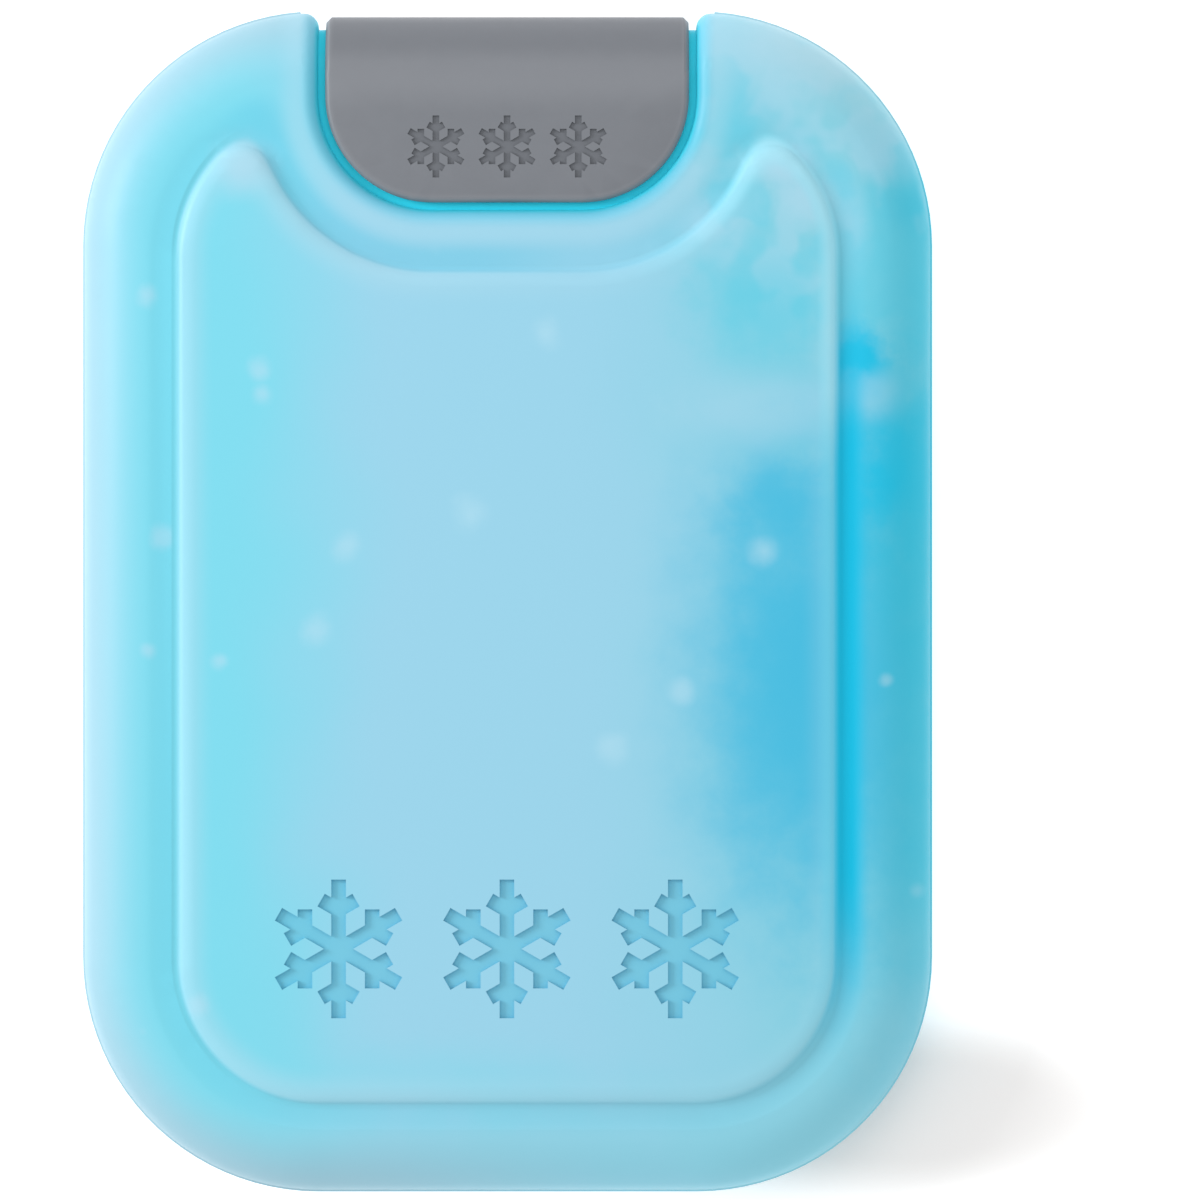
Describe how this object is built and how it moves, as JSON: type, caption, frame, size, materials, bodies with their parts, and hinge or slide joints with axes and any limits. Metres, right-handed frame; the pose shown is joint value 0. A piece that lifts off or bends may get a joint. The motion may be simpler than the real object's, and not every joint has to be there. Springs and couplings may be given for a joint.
{
  "type": "reusable ice pack",
  "caption": "Thin reusable ice pack: a sealed rounded pack with a raised panel on each face and a saddle-shaped cover clipped over its fill port.",
  "frame": {"origin": "middle of the bounding box's bottom: the pack lies on its back panel, which is at z = 0", "axes": "+X across the pack, +Y along its length towards the cover, +Z through its thickness, out of the front panel, which carries the frost marks"},
  "size_m": [0.1296, 0.1799, 0.017],
  "materials": {
    "pack_plastic": "satin, translucent pale blue moulded plastic with the frozen filling showing as pale clouds",
    "cover_plastic": "satin mid grey moulded plastic",
    "plug_plastic": "plain natural moulded plastic, hidden under the cover"
  },
  "bodies": {
    "root": {"pack_body": "pack_plastic", "cap_cover": "cover_plastic", "fill_plug": "plug_plastic"}
  },
  "joints": []
}
